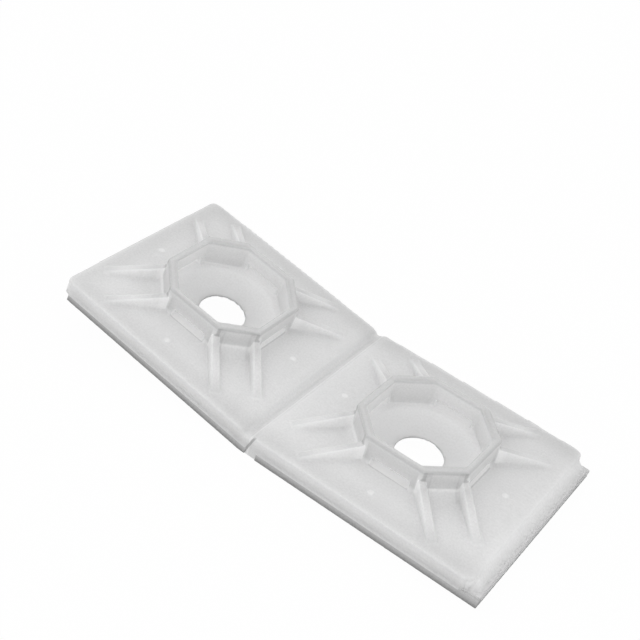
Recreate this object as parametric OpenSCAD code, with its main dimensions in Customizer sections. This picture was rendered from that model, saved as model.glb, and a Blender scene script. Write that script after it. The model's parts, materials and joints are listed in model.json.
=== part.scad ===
// Twin four-way cable tie mount on adhesive foam pads.
// Two square bases are moulded as one strip and share a grooved break-off seam.
// The strip is bent a little at that seam, so that its two halves form a shallow V.
// Each half carries an eight-sided collar with a tie slot through each of its four
// long walls, a dished floor with a screw hole, and a ribbed leg toward every corner.
// A square foam pad is stuck under each half.
//
// Frame: origin on the resting plane under the middle of the outline, X along the
// strip, Y along the seam, Z up. The strip rests on the inner edges of its two pads.
// All lengths are in millimetres and all angles in degrees.

/* [Base] */
// Length of the left half, from the bend line to its outer end
left_len = 29.1; // [27:0.1:40]
// Length of the right half, from the bend line to its outer end
right_len = 29.7; // [27:0.1:40]
// Width of the strip, along the seam
base_w = 28; // [26:0.5:40]
// Thickness of the base plate
base_t = 2; // [1.7:0.1:3]
// Radius of the four outer corners
corner_r = 1; // [0.4:0.1:3]
// Bend between the two halves
fold = 9.9; // [2:0.1:20]

/* [Seam] */
// Half the width of the break-off groove
groove_half_w = 1; // [0.4:0.05:1.2]
// Depth of the break-off groove
groove_d = 0.6; // [0.2:0.01:0.9]
// Distance of the tear from the bend line, at the top face
tear_x = 1.2; // [0.9:0.05:1.4]
// Amount by which the tear runs back toward the bend line on its way down
tear_run = 1.1; // [0.4:0.05:1.3]
// Length of the tear at the near end of the seam
tear_len = 1.6; // [0.6:0.1:4]
// Width of the tear
tear_w = 0.25; // [0.1:0.05:0.5]
// Height of the seam's foot above the faces of the pads
foot_rise = 0.15; // [0.12:0.01:0.4]
// Gap between the seam's foot and the right pad
foot_gap = 0.1; // [0.05:0.05:0.3]

/* [Web stub] */
// Length of the torn web that is left at the right end
stub_len = 1.5; // [0.4:0.1:3]
// Thickness of the torn web
stub_t = 0.45; // [0.3:0.05:0.9]
// Amount by which the torn web stands back from the long edges of the base
stub_in = 0.4; // [0:0.1:2]

/* [Collar] */
// Distance of the collar's axis from the seam
centre_x = 15.1; // [14.5:0.05:16]
// Collar size across two opposite long walls
collar_w = 15.2; // [13:0.1:18]
// Length of a long wall
long_wall = 7.8; // [7:0.1:9]
// Thickness of a long wall
collar_t = 0.85; // [0.6:0.05:1.2]
// Thickness of a short wall
short_wall_t = 1.15; // [0.6:0.05:1.5]
// Height of the collar above the base plate
collar_h = 3.5; // [2.6:0.1:5]
// Width of a tie slot
slot_w = 5.2; // [3:0.1:5.6]
// Height of a tie slot
slot_h = 1.2; // [0.8:0.1:1.6]

/* [Screw hole] */
// Radius of the screw hole
hole_r = 3; // [1.5:0.05:3.4]
// Radius of the dished floor at the base's top face
dish_r = 6.4; // [4.5:0.1:6.5]
// Depth of the dished floor at the edge of the hole
dish_d = 1.5; // [0.4:0.05:1.6]

/* [Legs] */
// Distance of a rib's middle from the leg's middle
rib_offset = 2.55; // [1.6:0.05:2.8]
// Width of a rib where it meets the collar
rib_w = 0.9; // [0.6:0.1:1.4]
// Width of a rib at its outer end
rib_tip_w = 1.3; // [0.6:0.1:1.6]
// Height of a rib where it meets the collar
rib_h = 2.3; // [1.2:0.1:2.5]
// Height of a rib at its outer end
rib_tip_h = 0.2; // [0.1:0.05:0.5]
// Reach of a rib from the collar's axis
rib_reach = 15.2; // [12:0.1:16]
// Radius of the cove between two ribs
cove_r = 2; // [0.8:0.1:2.4]

/* [Moulding marks] */
// Distance of each mark from the collar's axis
mark_reach = 11.1; // [10:0.1:12]
// Diameter of a mark
mark_d = 0.8; // [0.4:0.1:1.6]
// Height of a mark
mark_h = 0.12; // [0.05:0.01:0.3]

/* [Foam pads] */
// Thickness of a foam pad
pad_t = 0.9; // [0.5:0.05:2]
// Distance of the right pad's inner edge from the seam
right_pad_in = 1.9; // [0.8:0.1:3]
// Amount by which the right pad passes the outer end of the base
right_pad_out = 1.4; // [-1:0.1:2]
// Distance of the left pad's inner edge from the seam
left_pad_in = 0.2; // [0.2:0.1:3]
// Amount by which the left pad passes the outer end of the base
left_pad_out = -0.8; // [-1:0.1:2]
// Amount by which the left pad's near edge draws in toward its outer end
left_pad_skew = 0.1; // [0:0.1:1]
// Amount by which a pad stands back from the long edges of the base
pad_side_in = 0; // [0:0.1:1]
// Radius of the hole in a pad
pad_hole_r = 4.5; // [3.5:0.1:6]

/* [Hidden] */
$fn = 96;
// Overlap that makes joined solids share volume
bite = 0.3;
// Cutters pass the faces that they open by this much
past = 1;
// Height of base plate and pad together
stack = base_t + pad_t;
// Position of the left pad's inner lower edge with the right half lying flat
left_edge_x = -(left_pad_in * cos(fold) + stack * sin(fold));
left_edge_z = left_pad_in * sin(fold) - stack * cos(fold);
// Slopes of the two halves when both inner pad edges touch the resting plane
lean_right = atan((left_edge_z + stack) / (right_pad_in - left_edge_x));
lean_left = fold - lean_right;
// Height of the seam's top line above the resting plane
seam_z = stack * cos(lean_right) - right_pad_in * sin(lean_right);
// Ends of the outline along X, measured from the seam
end_right = reach_of(right_len, lean_right, stub_len, right_pad_out);
end_left = reach_of(left_len, lean_left, 0, left_pad_out);
seam_x = (end_left - end_right) / 2;
// Distance of the collar's short walls from its axis
short_wall_x = (collar_w + long_wall) / (2 * sqrt(2));
// Sphere whose lower cap forms the dished floor
dish_z = (dish_r * dish_r - hole_r * hole_r - dish_d * dish_d) / (2 * dish_d);
dish_ball_r = sqrt(dish_r * dish_r + dish_z * dish_z);
// Extra length of each plate past the seam, which closes the bend's wedge
seam_lap = 0.1;
seam_bite = base_t * tan(fold / 2) + seam_lap;

// Distance from the seam to the end of a sloping half, base plate with its stub or pad
function reach_of(len, lean, stub, out) = max(
    (len + stub) * cos(lean) + base_t * sin(lean),
    (len + out) * cos(lean) + stack * sin(lean)
);

// Eight-sided outline with four long and four short walls
module octagon(across, side) {
    a = across / 2;
    b = side / 2;
    polygon([[a, -b], [a, b], [b, a], [-b, a], [-a, b], [-a, -b], [-b, -a], [b, -a]]);
}

// Outline of one half of the base, square at the seam and rounded at the outer end
module plate_outline(len) {
    straight = len + seam_bite - corner_r;
    translate([-seam_bite, -base_w / 2])
        square([straight, base_w]);
    translate([-seam_bite, corner_r - base_w / 2])
        square([straight + corner_r, base_w - 2 * corner_r]);
    for (side = [-1, 1])
        translate([len - corner_r, side * (base_w / 2 - corner_r)])
            circle(corner_r);
}

// Inner outline of the collar, parallel to the outer one
module collar_inside() {
    inner_w = collar_w - 2 * collar_t;
    octagon(inner_w, 2 * sqrt(2) * (short_wall_x - short_wall_t) - inner_w);
}

// One rib of a leg, running outward along X, falling and widening to its end
module rib() {
    root = short_wall_x - collar_t;
    slope = (rib_h - rib_tip_h) / (rib_reach - short_wall_x);
    root_h = rib_h + slope * collar_t;
    wide = max(rib_w, rib_tip_w);
    intersection() {
        translate([0, wide / 2, 0])
            rotate([90, 0, 0])
                linear_extrude(wide)
                    polygon([
                        [root, -bite],
                        [rib_reach, -bite],
                        [rib_reach, rib_tip_h],
                        [root, root_h]
                    ]);
        translate([0, 0, -bite])
            linear_extrude(root_h + bite)
                polygon([
                    [root, -rib_w / 2],
                    [rib_reach, -rib_tip_w / 2],
                    [rib_reach, rib_tip_w / 2],
                    [root, rib_w / 2]
                ]);
    }
}

// Cove that fills the corner between collar and base plate between two ribs
module cove() {
    translate([0, rib_offset, 0])
        rotate([90, 0, 0])
            linear_extrude(2 * rib_offset)
                difference() {
                    translate([short_wall_x - collar_t / 2, -bite])
                        square([cove_r + collar_t / 2, cove_r + bite]);
                    translate([short_wall_x + cove_r, cove_r])
                        circle(cove_r);
                }
}

// Leg toward one corner of a half
module leg() {
    for (side = [-1, 1])
        translate([0, side * rib_offset, 0])
            rib();
    cove();
}

// Spherical dish of the floor, cut off at the base's top face
module dish() {
    intersection() {
        translate([0, 0, dish_z])
            sphere(dish_ball_r);
        translate([0, 0, -dish_d - past])
            cylinder(r = dish_r, h = dish_d + past);
    }
}

// One half of the moulding: seam on the Y axis, base plate below Z = 0
module half_moulding(len) {
    difference() {
        union() {
            translate([0, 0, -base_t])
                linear_extrude(base_t)
                    plate_outline(len);
            translate([centre_x, 0, 0]) {
                translate([0, 0, -bite])
                    linear_extrude(collar_h + bite)
                        octagon(collar_w, long_wall);
                for (turn = [45:90:315])
                    rotate([0, 0, turn])
                        leg();
                for (turn = [0:90:270])
                    rotate([0, 0, turn])
                        translate([mark_reach, 0, -bite])
                            cylinder(d = mark_d, h = mark_h + bite);
            }
        }
        translate([centre_x, 0, 0]) {
            linear_extrude(collar_h + past)
                collar_inside();
            dish();
            translate([0, 0, -base_t - past])
                cylinder(r = hole_r, h = base_t + 2 * past);
            for (turn = [0, 90])
                rotate([0, 0, turn])
                    translate([-collar_w / 2 - past, -slot_w / 2, 0])
                        cube([collar_w + 2 * past, slot_w, slot_h]);
        }
    }
}

// Prism along the seam, from a profile drawn in X and Z
module seam_prism(y_from, length) {
    translate([0, y_from + length, 0])
        rotate([90, 0, 0])
            linear_extrude(length)
                children();
}

// Places the right half on its slope, with the seam on its height
module place_right() {
    translate([seam_x, 0, seam_z])
        rotate([0, -lean_right, 0])
            children();
}

// Places the mirrored left half on its slope
module place_left() {
    translate([seam_x, 0, seam_z])
        rotate([0, lean_left, 0])
            mirror([1, 0, 0])
                children();
}

// Groove along the seam and the tear at its near end
module seam_cuts() {
    // Share of the groove's flanks that the cutter follows, past the top faces
    follow = 1.5;
    rise = groove_d + groove_half_w * tan(fold / 2);
    run = tear_run / stack;
    half_y = base_w / 2;
    translate([seam_x, 0, seam_z])
        rotate([0, (lean_left - lean_right) / 2, 0])
            seam_prism(-half_y - past, base_w + 2 * past)
                polygon([
                    [0, -groove_d],
                    [follow * groove_half_w, follow * rise - groove_d],
                    [-follow * groove_half_w, follow * rise - groove_d]
                ]);
    place_right()
        seam_prism(-half_y - past, tear_len + past)
            polygon([
                [tear_x + run * bite, bite],
                [tear_x + run * bite - tear_w, bite],
                [tear_x - tear_run - run * bite - tear_w, -stack - bite],
                [tear_x - tear_run - run * bite, -stack - bite]
            ]);
}

// Foot under the seam, between the two pads
module seam_foot() {
    foot_x = tear_x - tear_run;
    translate([foot_x, -base_w / 2, foot_rise - stack])
        cube([right_pad_in - foot_gap - foot_x, base_w, pad_t - foot_rise + bite]);
}

// Torn web that is left along the right end, level with the base's underside
module web_stub() {
    translate([right_len - bite, stub_in - base_w / 2, -base_t])
        cube([stub_len + bite, base_w - 2 * stub_in, stub_t]);
}

// Twin moulding of translucent nylon
module mount_base() {
    color([0.86, 0.86, 0.84])
        difference() {
            union() {
                place_right() {
                    half_moulding(right_len);
                    seam_foot();
                    web_stub();
                }
                place_left()
                    half_moulding(left_len);
            }
            seam_cuts();
        }
}

// Foam pad of one half, below the base plate; skew draws its near edge in
module foam_pad(inner, pad_end, skew) {
    half_y = base_w / 2 - pad_side_in;
    translate([0, 0, -stack])
        linear_extrude(pad_t)
            difference() {
                polygon([
                    [inner, -half_y],
                    [pad_end, skew - half_y],
                    [pad_end, half_y],
                    [inner, half_y]
                ]);
                translate([centre_x, 0])
                    circle(pad_hole_r);
            }
}

// Adhesive foam pad under the left half
module left_foam_pad() {
    color([0.62, 0.62, 0.62])
        place_left()
            foam_pad(left_pad_in, left_len + left_pad_out, left_pad_skew);
}

// Adhesive foam pad under the right half
module right_foam_pad() {
    color([0.62, 0.62, 0.62])
        place_right()
            foam_pad(right_pad_in, right_len + right_pad_out, 0);
}

mount_base();
left_foam_pad();
right_foam_pad();
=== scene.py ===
# Dresses the twin cable tie mount: a softened nylon moulding, two foam pads, floor, light and camera.
import json
import math
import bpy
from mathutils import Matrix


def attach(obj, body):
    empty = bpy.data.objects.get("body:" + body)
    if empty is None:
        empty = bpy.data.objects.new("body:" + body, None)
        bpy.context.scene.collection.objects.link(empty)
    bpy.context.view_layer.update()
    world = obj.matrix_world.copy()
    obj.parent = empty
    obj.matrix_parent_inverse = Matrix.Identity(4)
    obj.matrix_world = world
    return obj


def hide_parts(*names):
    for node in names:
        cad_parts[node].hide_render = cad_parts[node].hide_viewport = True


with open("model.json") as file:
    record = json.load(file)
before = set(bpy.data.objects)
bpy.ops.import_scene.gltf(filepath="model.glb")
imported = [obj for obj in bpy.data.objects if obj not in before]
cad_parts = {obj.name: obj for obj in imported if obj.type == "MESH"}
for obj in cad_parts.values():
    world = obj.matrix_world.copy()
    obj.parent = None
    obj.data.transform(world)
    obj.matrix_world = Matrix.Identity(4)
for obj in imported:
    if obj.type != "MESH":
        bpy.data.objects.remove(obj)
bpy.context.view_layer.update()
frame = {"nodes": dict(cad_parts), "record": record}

from types import SimpleNamespace

import bmesh
import bpy
from mathutils import Euler, Matrix, Vector, noise

MM = 0.001

# Places on a half are in millimetres from its collar's middle on the plate's top: outward from the
# fold, along the seam, and up. Far and near are the larger and the smaller of the first two, and
# diagonal and across run along a leg and across it. A pair of values is a span, over which
# something climbs from none at the first value to all at the second.
BORE_TO_TOP = 1.75 * MM
TO_FOLD = 15.1
PLATE_HALF_W, PLATE_END, PLATE_T = 14.0, 14.0, 2.0
WALL_OUT, WALL_IN, SHORT_WALL_STEP = 7.6, 6.75, 0.53
WALL_MIDDLE = (WALL_OUT + WALL_IN) / 2
SHORT_WALL = WALL_OUT + SHORT_WALL_STEP
RIM_FROM, RIM_TO = 3.0, 3.4
SLOT_DEEP, SLOT_HALF_W, SLOT_TALL = 6.7, 2.6, 1.2
RIB_FROM, RIB_TO, RIB_OFFSET, RIB_HALF_W = 8.05, 13.5, 2.55, 0.42
HOLE_R, FLOOR_T = 3.0, 0.5
MARK_REACH, MARK_R = 11.1, 0.4
WEB_FROM, WEB_TO, WEB_END = 14.3, 16.0, 16.1
DIAGONAL = math.sqrt(0.5)

# Moulding: cells of the remesh, the share of its faces that is kept, the smoothing passes that
# round its edges and its legs, and the turn from which an edge stays crisp
WELD_GAP = 0.001 * MM
CELL = 0.14 * MM
KEPT_SHARE = 0.16
ROUNDING_FACTOR = 0.5
ROUNDING_PASSES, LEG_PASSES = 4, 14
CRISP = math.radians(55)

# Spans of the smoothing: all but the underside, which stays crisp, and the legs
UPPER_UP = (-1.7, -1.3)
LEG_ALONG, LEG_ACROSS = (7.9, 8.3), (4.1, 3.6)
LEG_UP, LEG_BELOW = (-0.3, 0.0), (3.0, 2.6)

# Points of the remesh this close to the plate's long sides, its underside or the web's end are
# put on them
SNAP = 0.16

# Screw hole: the underside of the dished floor rises to a thin lip round it
LIP_LIFT, LIP = 0.3, (3.9, HOLE_R)

# Torn web at the right end: its flank slopes from the plate's top to the web's outer edge, and
# fades out toward the strip's long sides
WEB_DROP, WEB_UNDER = 1.5, -1.8
WEB_SLOPE, WEB_ACROSS = (WEB_FROM, WEB_TO), (13.6, 12.4)

# Tones multiply the nylon's grey, and most of them are painted shade and painted light. Thin walls,
# rims, ribs and margins are painted greyer than the backed plate, as shade where light leaks out of
# them. The slots and the dished floor are painted palest, as light where they lie in shade; the
# moulding marks are paler nylon.
NYLON, PALEST = 0.83, 0.97
FLOW_DEPTH, GRAIN_DEPTH = 0.06, 0.18
# Painted shade: the nylon grows darker toward the far long side and paler toward the near one
FAR_SIDE_SHADE = -0.0036

# Collar's walls and rim, painted darker as shade
OUTER_WALL_SHADE, INNER_WALL_SHADE, FRONT_WALL_SHADE = 0.80, 0.93, 0.935
RIM_TOP_SHADE, RIM_EDGE_SHADE = 0.775, 0.93
COLLAR_EDGE = (WALL_OUT + 0.2, WALL_OUT + 0.1)
WALL_UP = (0.1, 0.9)
OUTER_SIDE = (WALL_MIDDLE, WALL_MIDDLE + 0.3)
FRONT_SIDE = (-7.0, -7.3)
BELOW_RIM = (RIM_FROM + 0.2, RIM_FROM - 0.2)
RIM_UP = (RIM_FROM, RIM_TO)
RIM_EDGES = (0.15, 0.4)

# Dished floor, screw hole and tie slots painted paler as light; painted shadow under near slots
DISH_LIGHT, HOLE_LIGHT, SLOT_LIGHT, SLOT_SHADOW_LINE = 1.15, 1.05, 1.14, 0.85
FLOOR_DOWN = (0.3, 0.1)
FLOOR_EDGE = (WALL_IN + 0.1, WALL_IN)
HOLE_EDGE = (4.2, HOLE_R)
SLOT_SIDES = (SLOT_HALF_W + 0.1, SLOT_HALF_W)
SLOT_BACK = (SLOT_DEEP, SLOT_DEEP + 0.1)
SLOT_HEAD = (SLOT_TALL + 0.05, SLOT_TALL - 0.05)
SLOT_MOUTH = (WALL_OUT + 0.05, WALL_OUT - 0.05)
SLOT_LINE_AT, SLOT_LINE_W = WALL_OUT + 0.05, (0.14, 0.06)
FAR_SLOT = (3, 4)
PAST_FROM, PAST_TO = (WALL_OUT - 0.05, WALL_OUT), (WALL_OUT + 0.9, WALL_OUT + 0.5)

# Ribs with their flanks and roots, and the coved legs between them, in painted shade and light
RIB_TOP_SHADE, RIB_TIP_LIGHT, ROOT_LIGHT = 0.71, 1.29, 1.14
SHADED_FLANK, LIT_FLANK = 0.90, 0.985
LEG_SHADE, LEG_FOOT_LIGHT = 0.95, 1.12
RIB_START, RIB_LENGTH = (RIB_FROM, RIB_FROM + 0.1), (RIB_FROM, RIB_TO)
RIB_UP = (0.08, 0.25)
RIB_TOP = (RIB_HALF_W, RIB_HALF_W - 0.12)
FLANK_W = (1.1, 0.9)
ROOT_START, ROOT_STOP = (RIB_FROM - 0.4, RIB_FROM - 0.2), (RIB_FROM + 1.3, RIB_FROM + 0.2)
ROOT_W = (1.0, 0.6)
ROOT_UP, ROOT_HEAD = (0.2, 0.6), (RIM_FROM, RIM_FROM - 0.4)
FAR_LEG, WEST_LEG = (2, 4), (2, 4)
SHADE_START, SHADE_STOP = (SHORT_WALL - 0.1, SHORT_WALL + 0.2), (SHORT_WALL + 2.4, SHORT_WALL)
COVE_W = (2.4, 2.0)
FOOT_W, FOOT_UP = (0.4, 0.2), (2.2, 0.5)

# Plate's margins, sides and edges in painted shade, moulding marks paler nylon, and the torn web
# with painted light on its flank and a painted shade line along its end
MARGIN_SHADE, SIDE_SHADE, LOW_EDGE_SHADE, CORNER_SHADE, MARK_TONE = 0.84, 0.88, 0.93, 0.965, 1.12
LEFT_FAR_EDGE_SHADE, RIGHT_FAR_EDGE_SHADE, LEFT_END_EDGE_SHADE = 0.93, 0.75, 0.84
WEB_LIGHT, WEB_EDGE_SHADE = 1.09, 0.6
MARGIN_IN, TOP_UP = (4.0, 0.0), (-0.6, -0.2)
SIDE_IN, SIDE_DOWN = (0.3, 0.1), (-0.2, -0.6)
LOW_IN, LOW_DOWN = (1.2, 0.9), (-1.4, -1.9)
CORNER_OUT = (8.5, 12)
MARK_EDGE = (MARK_R + 0.05, MARK_R - 0.1)
EDGE_W = (0.25, 0.05)
WEB_START, WEB_STOP = (WEB_FROM + 0.1, WEB_FROM + 0.6), (WEB_TO - 0.1, WEB_TO - 0.5)

# Seam, by distance from the fold: a painted shaded left bank, a painted highlight line on the right
# bank, a painted shadow in the tear
SEAM_SHADE, SEAM_HIGHLIGHT, TEAR_SHADOW = 0.955, 1.15, 0.6
BANK_FROM, BANK_TO = (0.1, 0.6), (1.9, 1.0)
LINE_AT, LINE_W = 0.62, (0.16, 0.06)
TEAR_AT, TEAR_SLANT = 1.1, 0.38
TEAR_W, TEAR_ALONG = (0.22, 0.1), (-13.5, -13.9)

# Nylon's surface: scales of its flow shading and grain, its gloss, and how deep light goes into it
FLOW_SCALE, FLOW_DETAIL, FLOW_ROUGHNESS = 160.0, 3.0, 0.55
GRAIN_SCALE, GRAIN_DETAIL = 4200.0, 2.0
GRAIN_BUMP, GRAIN_HEIGHT = 0.08, 0.04 * MM
NYLON_ROUGHNESS, NYLON_IOR = 0.42, 1.53
LIGHT_DEPTH = 2.2 * MM

# Foam pads: spacing of points along the cut edge, layers through the thickness, steps of a corner
# and of the hole, how far the inner ends reach on toward the seam and the top runs up into the
# nylon, the gap over the floor, and the hollow of the cut edge with the depth of its cells
PAD_STEP = 0.2 * MM
PAD_LAYERS, CORNER_STEPS, HOLE_STEPS = 8, 4, 96
PAD_CORNER = 0.1 * MM
PAD_CLOSE = {"left": 0.9 * MM, "right": 0.3 * MM}
PAD_RISE = 0.12 * MM
PAD_CLEAR = 0.005 * MM
PAD_HOLLOW = 0.02 * MM
CELL_DEPTH, CELL_PITCH = 0.03 * MM, 0.35 * MM

# Foam's surface: greys from darker at the bottom to paler at the top, by share of the thickness
FOAM_BOTTOM, FOAM_TOP, FOAM_CELLS = 0.23, 0.58, 0.12
FOAM_STEPS = ((0.15, 0.30), (0.5, 0.46))
FOAM_SCALE, FOAM_ROUGHNESS = 3800.0, 0.9
FOAM_BUMP, FOAM_HEIGHT = 0.5, 0.1 * MM

# Floor: its size, its paint, and the share of it that shows plain white, the rest keeping a shadow
FLOOR_SIZE, FLOOR_PAINT, FLOOR_WHITE = 4.0, 0.9, 0.98

# Light: a bright tent all round, and one large soft lamp from the upper left
TENT_LEVEL = 0.81
KEY_FROM = Vector((-0.06, -0.14, 0.24))
KEY_SIZE = 0.18
KEY_POWER = 0.082

# Camera, in the part's frame
CAMERA_AT = Vector((49.185, -107.79, 100.77)) * MM
CAMERA_TURN = Euler([math.radians(a) for a in (55.761, -12.804, 35.663)])
CAMERA_LENS, CAMERA_SENSOR = 71.76, 36
CAMERA_DROP = -0.13125
CAMERA_REACH = (0.01, 10)


def node(tree, kind, **values):
    """A new shader node with its named inputs or properties set."""
    made = tree.nodes.new(kind)
    for name, value in values.items():
        if name in made.inputs:
            made.inputs[name].default_value = value
        else:
            setattr(made, name, value)
    return made


def new_material(name):
    """An empty node material and its output node."""
    material = bpy.data.materials.new(name)
    material.use_nodes = True
    tree = material.node_tree
    tree.nodes.clear()
    out = tree.nodes.new("ShaderNodeOutputMaterial")
    return material, tree, out


class Field:
    """A number that varies over a surface: an output of a shader node, with plain arithmetic."""

    def __init__(self, tree, output):
        self.tree = tree
        self.output = output

    def combine(self, operation, *others):
        """Result of a math node on this field and others, which may be plain numbers."""
        made = self.tree.nodes.new("ShaderNodeMath")
        made.operation = operation
        for slot, value in zip(made.inputs, (self, *others)):
            if isinstance(value, Field):
                self.tree.links.new(value.output, slot)
            else:
                slot.default_value = value
        return Field(self.tree, made.outputs[0])

    def __add__(self, other):
        return self.combine("ADD", other)

    def __sub__(self, other):
        return self.combine("SUBTRACT", other)

    def __rsub__(self, number):
        return self.combine("MULTIPLY_ADD", -1.0, number)

    def __mul__(self, other):
        return self.combine("MULTIPLY", other)

    def __abs__(self):
        return self.combine("ABSOLUTE")

    def least(self, other):
        """The smaller of the two."""
        return self.combine("MINIMUM", other)

    def most(self, other):
        """The larger of the two."""
        return self.combine("MAXIMUM", other)

    def reach(self, other):
        """Straight distance, where the two are distances at right angles."""
        return (self * self + other * other).combine("SQRT")

    def rise(self, span):
        """Climbs smoothly from 0 to 1 while this field goes through a span."""
        start, full = span
        made = node(self.tree, "ShaderNodeMapRange", interpolation_type="SMOOTHSTEP")
        made.inputs["From Min"].default_value = min(span)
        made.inputs["From Max"].default_value = max(span)
        made.inputs["To Min"].default_value = float(start > full)
        made.inputs["To Max"].default_value = float(start < full)
        self.tree.links.new(self.output, made.inputs["Value"])
        return Field(self.tree, made.outputs["Result"])


def surface_place(tree):
    """Fields that say where on its half a point of the moulding lies."""
    spot = node(tree, "ShaderNodeAttribute", attribute_name="spot")
    half = node(tree, "ShaderNodeAttribute", attribute_name="right")
    split = tree.nodes.new("ShaderNodeSeparateXYZ")
    tree.links.new(spot.outputs["Vector"], split.inputs[0])
    out, along, height = [Field(tree, output) for output in split.outputs]
    right = Field(tree, half.outputs["Fac"])
    far = abs(out).most(abs(along))
    near = abs(out).least(abs(along))
    diagonal = (far + near) * DIAGONAL
    # The right half has no edge at its outer end, because the web carries on there
    to_end = right * PLATE_END + (PLATE_END - out)
    inset = (PLATE_HALF_W - abs(along)).least(to_end)
    return SimpleNamespace(
        out=out,
        along=along,
        height=height,
        right=right,
        left=1.0 - right,
        far=far,
        near=near,
        diagonal=diagonal,
        across=(far - near) * DIAGONAL,
        ring=far.most(diagonal - SHORT_WALL_STEP),
        inset=inset,
        low_edge=inset.rise(LOW_IN) * height.rise(LOW_DOWN),
    )


def collar_shade_and_light(at):
    """Shares and tones of the painted shade and light on the collar's walls, rim, floor, screw hole
    and slots.
    """
    inside = at.ring.rise(COLLAR_EDGE)
    standing = inside * at.height.rise(WALL_UP)
    outer = at.ring.rise(OUTER_SIDE)
    front = standing * at.along.rise(FRONT_SIDE) * at.height.rise(BELOW_RIM)
    rim = inside * at.height.rise(RIM_UP)
    low = at.height.rise(FLOOR_DOWN)
    slot = at.near.rise(SLOT_SIDES) * at.far.rise(SLOT_BACK) * at.height.rise(SLOT_HEAD)
    behind = at.along.rise(FAR_SLOT)
    line = abs(at.far - SLOT_LINE_AT).rise(SLOT_LINE_W)
    return [
        (standing * outer, OUTER_WALL_SHADE),
        (standing * (1.0 - outer), INNER_WALL_SHADE),
        (front, FRONT_WALL_SHADE),
        (rim, RIM_TOP_SHADE),
        (rim * abs(at.ring - WALL_MIDDLE).rise(RIM_EDGES), RIM_EDGE_SHADE),
        (low * at.ring.rise(FLOOR_EDGE), DISH_LIGHT),
        (low * at.near.reach(at.far).rise(HOLE_EDGE), HOLE_LIGHT),
        (slot * at.far.rise(SLOT_MOUTH), SLOT_LIGHT),
        (slot * behind * at.far.rise(PAST_FROM) * at.far.rise(PAST_TO), SLOT_LIGHT),
        (slot * (1.0 - behind) * line, SLOT_SHADOW_LINE),
    ]


def leg_shade_and_light(at):
    """Shares and tones of painted shade and light on the ribs with their flanks and roots, and on the
    legs between them.
    """
    off_rib = abs(at.across - RIB_OFFSET)
    raised = at.diagonal.rise(RIB_START) * at.height.rise(RIB_UP)
    on_top = off_rib.rise(RIB_TOP)
    rib = raised * on_top
    flank = raised * (1.0 - on_top) * off_rib.rise(FLANK_W)
    root = at.diagonal.rise(ROOT_START) * at.diagonal.rise(ROOT_STOP) * off_rib.rise(ROOT_W)
    near_leg = 1.0 - at.along.rise(FAR_LEG)
    west = (at.out * (at.left - at.right)).rise(WEST_LEG)
    shaded = near_leg * (1.0 - west)
    cove = at.across.rise(COVE_W)
    foot = cove * abs(at.diagonal - SHORT_WALL).rise(FOOT_W)
    return [
        (rib, RIB_TOP_SHADE),
        (rib * at.diagonal.rise(RIB_LENGTH), RIB_TIP_LIGHT),
        (flank * shaded, SHADED_FLANK),
        (flank * (1.0 - shaded), LIT_FLANK),
        (root * at.height.rise(ROOT_UP) * at.height.rise(ROOT_HEAD), ROOT_LIGHT),
        (near_leg * cove * at.diagonal.rise(SHADE_START) * at.diagonal.rise(SHADE_STOP), LEG_SHADE),
        (foot * at.height.rise(FOOT_UP), LEG_FOOT_LIGHT),
    ]


def plate_shade_light_and_marks(at):
    """Shares and tones of the painted shade on the plate's margins, sides and edges, its paler marks,
    and the painted light and shade on the torn web.
    """
    far_edge = (PLATE_HALF_W - at.along).rise(EDGE_W)
    to_mark = at.near.reach(at.far - MARK_REACH)
    return [
        (at.inset.rise(MARGIN_IN) * at.height.rise(TOP_UP), MARGIN_SHADE),
        (at.inset.rise(SIDE_IN) * at.height.rise(SIDE_DOWN), SIDE_SHADE),
        (at.low_edge, LOW_EDGE_SHADE),
        (at.near.rise(CORNER_OUT), CORNER_SHADE),
        (to_mark.rise(MARK_EDGE), MARK_TONE),
        (at.left * far_edge, LEFT_FAR_EDGE_SHADE),
        (at.right * far_edge, RIGHT_FAR_EDGE_SHADE),
        (at.left * (PLATE_END - at.out).rise(EDGE_W), LEFT_END_EDGE_SHADE),
        (at.out.rise(WEB_START) * at.out.rise(WEB_STOP), WEB_LIGHT),
        ((WEB_END - at.out).rise(EDGE_W), WEB_EDGE_SHADE),
    ]


def seam_shade_and_highlight(at):
    """Shares and tones of the seam's painted shaded bank, its painted highlight line and the painted
    shadow in the tear.
    """
    fold = at.out + TO_FOLD
    tear_line = at.height * TEAR_SLANT + TEAR_AT
    return [
        (at.left * fold.rise(BANK_FROM) * fold.rise(BANK_TO), SEAM_SHADE),
        (at.right * abs(fold - LINE_AT).rise(LINE_W), SEAM_HIGHLIGHT),
        (at.right * abs(fold - tear_line).rise(TEAR_W) * at.along.rise(TEAR_ALONG), TEAR_SHADOW),
    ]


def nylon_tone_and_painted_light(at):
    """How pale the nylon looks at each place: the product of all the tones, most of them painted
    shade and light.
    """
    # Painted shade, darker toward the far long side
    tone = at.along * FAR_SIDE_SHADE + 1.0
    for share, level in collar_shade_and_light(at) + leg_shade_and_light(at) + plate_shade_light_and_marks(at) + seam_shade_and_highlight(at):
        tone = tone * share.combine("MULTIPLY_ADD", level - 1, 1.0)
    return tone


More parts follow.
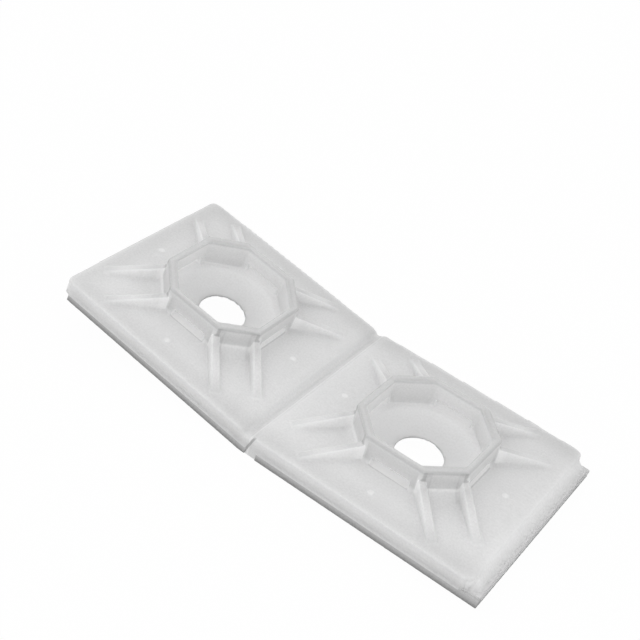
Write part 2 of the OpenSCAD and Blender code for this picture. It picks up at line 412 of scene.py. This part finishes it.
def nylon_material():
    """Natural nylon: pale, translucent, satin, with faint flow shading and fine grain."""
    material, tree, out = new_material("nylon")
    link = tree.links.new
    where = tree.nodes.new("ShaderNodeTexCoord")
    flow = node(
        tree, "ShaderNodeTexNoise", Scale=FLOW_SCALE, Detail=FLOW_DETAIL, Roughness=FLOW_ROUGHNESS
    )
    grain = node(tree, "ShaderNodeTexNoise", Scale=GRAIN_SCALE, Detail=GRAIN_DETAIL)
    bump = node(tree, "ShaderNodeBump", Strength=GRAIN_BUMP, Distance=GRAIN_HEIGHT)
    at = surface_place(tree)
    mottle = Field(tree, flow.outputs["Fac"]) * FLOW_DEPTH
    speckle = Field(tree, grain.outputs["Fac"]) * GRAIN_DEPTH
    plain = mottle + speckle + (NYLON - (FLOW_DEPTH + GRAIN_DEPTH) / 2)
    shade = (plain * nylon_tone_and_painted_light(at)).least(PALEST)
    grey = tree.nodes.new("ShaderNodeCombineColor")
    skin = tree.nodes.new("ShaderNodeBsdfPrincipled")
    skin.inputs["Roughness"].default_value = NYLON_ROUGHNESS
    skin.inputs["IOR"].default_value = NYLON_IOR
    skin.inputs["Subsurface Radius"].default_value = (1.0, 1.0, 1.0)
    skin.inputs["Subsurface Scale"].default_value = LIGHT_DEPTH
    link(where.outputs["Object"], flow.inputs["Vector"])
    link(where.outputs["Object"], grain.inputs["Vector"])
    for channel in grey.inputs:
        link(shade.output, channel)
    link(grey.outputs["Color"], skin.inputs["Base Color"])
    # Beside the dark foam no light is carried through the nylon, so that its lower edge stays pale
    link((1.0 - at.low_edge).output, skin.inputs["Subsurface Weight"])
    link(grain.outputs["Fac"], bump.inputs["Height"])
    link(bump.outputs["Normal"], skin.inputs["Normal"])
    link(skin.outputs["BSDF"], out.inputs["Surface"])
    return material


def foam_material():
    """Grey closed-cell foam with fine cells, darker toward its bottom."""
    material, tree, out = new_material("foam")
    link = tree.links.new
    where = tree.nodes.new("ShaderNodeTexCoord")
    cells = node(tree, "ShaderNodeTexVoronoi", Scale=FOAM_SCALE)
    level = node(tree, "ShaderNodeAttribute", attribute_name="level")
    tint = tree.nodes.new("ShaderNodeValToRGB")
    tint.color_ramp.elements[0].color = (FOAM_BOTTOM, FOAM_BOTTOM, FOAM_BOTTOM, 1)
    tint.color_ramp.elements[1].color = (FOAM_TOP, FOAM_TOP, FOAM_TOP, 1)
    for at, grey in FOAM_STEPS:
        tint.color_ramp.elements.new(at).color = (grey, grey, grey, 1)
    uneven = Field(tree, cells.outputs["Distance"]) * FOAM_CELLS - FOAM_CELLS / 2
    bump = node(tree, "ShaderNodeBump", Strength=FOAM_BUMP, Distance=FOAM_HEIGHT)
    skin = tree.nodes.new("ShaderNodeBsdfPrincipled")
    skin.inputs["Roughness"].default_value = FOAM_ROUGHNESS
    link(where.outputs["Object"], cells.inputs["Vector"])
    link((uneven + Field(tree, level.outputs["Fac"])).output, tint.inputs["Fac"])
    link(tint.outputs["Color"], skin.inputs["Base Color"])
    link(cells.outputs["Distance"], bump.inputs["Height"])
    link(bump.outputs["Normal"], skin.inputs["Normal"])
    link(skin.outputs["BSDF"], out.inputs["Surface"])
    return material


def modify(piece, kind, **values):
    """Adds a modifier with its properties set."""
    made = piece.modifiers.new(kind.lower(), kind)
    for name, value in values.items():
        setattr(made, name, value)


def apply_modifiers(piece):
    """Bakes a piece's modifiers into its mesh."""
    graph = bpy.context.evaluated_depsgraph_get()
    baked = bpy.data.meshes.new_from_object(piece.evaluated_get(graph))
    piece.modifiers.clear()
    piece.data = baked


def ramp(value, span):
    """Climbs smoothly from 0 to 1 while a value goes through a span."""
    start, full = span
    t = min(1.0, max(0.0, (value - start) / (full - start)))
    return t * t * (3 - 2 * t)


def collar_frames():
    """For each half: middle of the collar on the plate's top, outward direction and up."""
    frames = []
    for mount in frame["record"]["mounts"]:
        if mount["name"].endswith("_screw_hole"):
            up = Vector(mount["axis"])
            outward = Vector((0, 1, 0)).cross(up)
            if mount["name"].startswith("left"):
                outward = -outward
            frames.append((Vector(mount["pos_m"]) + BORE_TO_TOP * up, outward, up))
    return frames


def spots_of(piece):
    """For each point of a piece: its place on its half, and that half's outward direction and up."""
    frames = collar_frames()
    spots = []
    for vertex in piece.data.vertices:
        middle, outward, up = min(frames, key=lambda f: (vertex.co - f[0]).length)
        offset = (vertex.co - middle) / MM
        spots.append((Vector((offset.dot(outward), offset.y, offset.dot(up))), outward, up))
    return spots


def weigh_points(piece, spots):
    """Vertex groups for the smoothing: all but the underside, and the legs."""
    upper = piece.vertex_groups.new(name="upper")
    legs = piece.vertex_groups.new(name="legs")
    for index, (spot, _, _) in enumerate(spots):
        diagonal = (abs(spot.x) + abs(spot.y)) * DIAGONAL
        across = abs(abs(spot.x) - abs(spot.y)) * DIAGONAL
        leg = ramp(diagonal, LEG_ALONG) * ramp(across, LEG_ACROSS)
        leg *= ramp(spot.z, LEG_UP) * ramp(spot.z, LEG_BELOW)
        upper.add([index], ramp(spot.z, UPPER_UP), "REPLACE")
        legs.add([index], leg, "REPLACE")


def settle_points(piece, spots):
    """Puts points back on the flat sides, and forms the hole's lip and the web's flank."""
    for vertex, (spot, outward, up) in zip(piece.data.vertices, spots):
        beyond = abs(spot.y) - PLATE_HALF_W
        if beyond > -SNAP:
            vertex.co.y -= math.copysign(beyond, spot.y) * MM
        if spot.x > WEB_END - SNAP:
            vertex.co += outward * (WEB_END - spot.x) * MM
        above = spot.z + PLATE_T
        if abs(above) < SNAP:
            vertex.co -= up * above * MM
        if above < FLOOR_T:
            lift = LIP_LIFT * ramp(math.hypot(spot.x, spot.y), LIP)
            vertex.co += up * lift * min(1, 1 - above / FLOOR_T) * MM
        flank = -WEB_DROP * ramp(spot.x, WEB_SLOPE)
        if spot.x > WEB_FROM and WEB_UNDER < spot.z < flank:
            vertex.co += up * (flank - spot.z) * ramp(abs(spot.y), WEB_ACROSS) * MM


def store_spots(piece, spots):
    """Point attributes that the nylon's tone reads."""
    place = piece.data.attributes.new("spot", "FLOAT_VECTOR", "POINT")
    place.data.foreach_set("vector", [value for spot, _, _ in spots for value in spot])
    right = piece.data.attributes.new("right", "FLOAT", "POINT")
    right.data.foreach_set("value", [float(outward.x > 0) for _, outward, _ in spots])


def soft_moulding(source, name):
    """A copy of a CAD node with its edges and corners rounded as a mould leaves them."""
    piece = bpy.data.objects.new(name, source.data.copy())
    bpy.context.scene.collection.objects.link(piece)
    modify(piece, "WELD", merge_threshold=WELD_GAP)
    modify(piece, "REMESH", mode="VOXEL", voxel_size=CELL)
    apply_modifiers(piece)
    spots = spots_of(piece)
    weigh_points(piece, spots)
    settle_points(piece, spots)
    for group, passes in (("upper", ROUNDING_PASSES), ("legs", LEG_PASSES)):
        modify(piece, "SMOOTH", factor=ROUNDING_FACTOR, iterations=passes, vertex_group=group)
    apply_modifiers(piece)
    modify(piece, "DECIMATE", decimate_type="COLLAPSE", ratio=KEPT_SHARE)
    apply_modifiers(piece)
    piece.data.shade_smooth()
    piece.data.set_sharp_from_angle(angle=CRISP)
    store_spots(piece, spots_of(piece))
    return piece


def rounded_outline(corners, radius, step):
    """Points and outward directions along a closed outline with rounded corners."""
    points = []
    for i, corner in enumerate(corners):
        before = (corners[i - 1] - corner).normalized()
        after = (corners[(i + 1) % len(corners)] - corner).normalized()
        half = before.angle(after) / 2
        middle = corner + (before + after).normalized() * radius / math.sin(half)
        first = corner + before * radius / math.tan(half) - middle
        last = corner + after * radius / math.tan(half) - middle
        for k in range(CORNER_STEPS + 1):
            out = first.lerp(last, k / CORNER_STEPS).normalized()
            points.append((middle + out * radius, out))
    dense = []
    for (p, n), (q, m) in zip(points, points[1:] + points[:1]):
        parts = max(1, round((q - p).length / step))
        for k in range(parts):
            dense.append((p.lerp(q, k / parts), n.lerp(m, k / parts).normalized()))
    return dense


def pad_frame(side):
    """Matrix from a pad's own axes, with Z up through its thickness, to the part's frame."""
    face = next(m for m in frame["record"]["mounts"] if m["name"] == side + "_pad_face")
    up = -Vector(face["axis"])
    along = Vector((0, 1, 0))
    across = along.cross(up).normalized()
    turn = Matrix((across, along, up)).transposed().to_4x4()
    return Matrix.Translation(Vector(face["pos_m"])) @ turn


def pad_plan(side, place):
    """Outline and hole of a pad in its own axes, as points with outward directions, and thickness."""
    solid = frame["nodes"][side + "_foam_pad"].data
    local = [place.inverted() @ v.co for v in solid.vertices]
    thick = max(v.z for v in local)
    flat = [v.to_2d() for v in local if v.z < thick / 2]
    ways = [Vector(way) for way in ((-1, -1), (1, -1), (1, 1), (-1, 1))]
    corners = [max(flat, key=way.dot) for way in ways]
    rim = [v for v in flat if min((v - c).length for c in corners) > MM]
    hub = sum(rim, Vector((0, 0))) / len(rim)
    bore = sum((v - hub).length for v in rim) / len(rim)
    inner = 1 if side == "left" else -1
    shift = Vector((inner * PAD_CLOSE[side], 0))
    corners = [c + shift if (c.x - hub.x) * inner > 0 else c for c in corners]
    edge = rounded_outline(corners, PAD_CORNER, PAD_STEP)
    turns = [math.tau * k / HOLE_STEPS for k in range(HOLE_STEPS)]
    rays = [Vector((math.cos(turn), math.sin(turn))) for turn in turns]
    hole = [(hub + ray * bore, -ray) for ray in rays]
    return edge, hole, thick


def pad_wall(mesh, ring, thick):
    """Adds a hollow, cellular wall along an outline, and returns its layers of points."""
    layers = []
    for k in range(PAD_LAYERS + 1):
        share = k / PAD_LAYERS
        hollow = PAD_HOLLOW * (1 - (2 * share - 1) ** 2)
        layer = []
        for at, out in ring:
            cell = noise.noise(Vector((at.x, at.y, share * thick)) / CELL_PITCH)
            point = at - out * (hollow + CELL_DEPTH * (1 + cell))
            layer.append(mesh.verts.new((point.x, point.y, share * (thick + PAD_RISE))))
        layers.append(layer)
    for low, high in zip(layers, layers[1:]):
        for i in range(len(ring)):
            j = (i + 1) % len(ring)
            mesh.faces.new((low[i], low[j], high[j], high[i]))
    return layers


def foam_pad(side, material):
    """A foam pad with a cut, slightly hollow, cellular edge, where the CAD pad lies."""
    place = pad_frame(side)
    edge, hole, thick = pad_plan(side, place)
    mesh = bmesh.new()
    walls = [pad_wall(mesh, ring, thick) for ring in (edge, hole)]
    for layer in (0, -1):
        rings = [wall[layer] for wall in walls]
        pairs = [pair for ring in rings for pair in zip(ring, ring[1:] + ring[:1])]
        edges = [mesh.edges.get(pair) for pair in pairs]
        bmesh.ops.triangle_fill(mesh, edges=edges, use_beauty=True)
    bmesh.ops.recalc_face_normals(mesh, faces=mesh.faces)
    levels = [vertex.co.z / (thick + PAD_RISE) for vertex in mesh.verts]
    mesh.transform(place)
    for vertex in mesh.verts:
        vertex.co.z = max(vertex.co.z, PAD_CLEAR)
    data = bpy.data.meshes.new(side + "_pad")
    mesh.to_mesh(data)
    mesh.free()
    data.attributes.new("level", "FLOAT", "POINT").data.foreach_set("value", levels)
    data.materials.append(material)
    piece = bpy.data.objects.new(side + "_pad", data)
    bpy.context.scene.collection.objects.link(piece)
    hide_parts(side + "_foam_pad")
    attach(piece, "root")


def white_floor():
    """A pale floor that shows white to the camera and keeps a faint shadow."""
    material, tree, out = new_material("floor")
    link = tree.links.new
    paint = node(tree, "ShaderNodeBsdfDiffuse", Color=(FLOOR_PAINT, FLOOR_PAINT, FLOOR_PAINT, 1))
    glow = node(tree, "ShaderNodeEmission", Color=(1, 1, 1, 1), Strength=1.0)
    rays = tree.nodes.new("ShaderNodeLightPath").outputs
    kinds = ("Is Camera Ray", "Is Glossy Ray", "Is Transmission Ray")
    straight, mirrored, through = [Field(tree, rays[kind]) for kind in kinds]
    seen = straight.most(mirrored).most(through) * FLOOR_WHITE
    mix = tree.nodes.new("ShaderNodeMixShader")
    link(seen.output, mix.inputs["Fac"])
    link(paint.outputs[0], mix.inputs[1])
    link(glow.outputs[0], mix.inputs[2])
    link(mix.outputs[0], out.inputs["Surface"])
    bpy.ops.mesh.primitive_plane_add(size=FLOOR_SIZE, location=(0, 0, 0))
    floor = bpy.context.object
    floor.name = "floor"
    floor.data.materials.append(material)


def tent():
    """An even pale surround that shows white to the camera."""
    world = bpy.data.worlds.new("tent")
    bpy.context.scene.world = world
    world.use_nodes = True
    tree = world.node_tree
    tree.nodes.clear()
    link = tree.links.new
    out = tree.nodes.new("ShaderNodeOutputWorld")
    lit = node(tree, "ShaderNodeBackground", Color=(1, 1, 1, 1), Strength=TENT_LEVEL)
    seen = node(tree, "ShaderNodeBackground", Color=(1, 1, 1, 1), Strength=1.0)
    path = tree.nodes.new("ShaderNodeLightPath")
    mix = tree.nodes.new("ShaderNodeMixShader")
    link(path.outputs["Is Camera Ray"], mix.inputs["Fac"])
    link(lit.outputs[0], mix.inputs[1])
    link(seen.outputs[0], mix.inputs[2])
    link(mix.outputs[0], out.inputs["Surface"])


def key_lamp():
    """One large soft lamp above the left end."""
    data = bpy.data.lights.new("key", "AREA")
    data.shape = "DISK"
    data.size = KEY_SIZE
    data.energy = KEY_POWER
    lamp = bpy.data.objects.new("key", data)
    lamp.location = KEY_FROM
    lamp.rotation_euler = (-KEY_FROM).to_track_quat("-Z", "Y").to_euler()
    bpy.context.scene.collection.objects.link(lamp)


def camera():
    """The photograph's viewpoint."""
    data = bpy.data.cameras.new("camera")
    data.lens = CAMERA_LENS
    data.sensor_width = CAMERA_SENSOR
    data.shift_y = CAMERA_DROP
    data.clip_start, data.clip_end = CAMERA_REACH
    view = bpy.data.objects.new("camera", data)
    view.location = CAMERA_AT
    view.rotation_euler = CAMERA_TURN
    bpy.context.scene.collection.objects.link(view)
    bpy.context.scene.camera = view


nylon = nylon_material()
foam = foam_material()

moulding = soft_moulding(frame["nodes"]["mount_base"], "nylon_moulding")
moulding.data.materials.clear()
moulding.data.materials.append(nylon)
modify(moulding, "WEIGHTED_NORMAL", mode="FACE_AREA", keep_sharp=True)
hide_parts("mount_base")
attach(moulding, "root")

for side in ("left", "right"):
    foam_pad(side, foam)

white_floor()
tent()
key_lamp()
camera()
bpy.context.scene.view_settings.view_transform = "Standard"
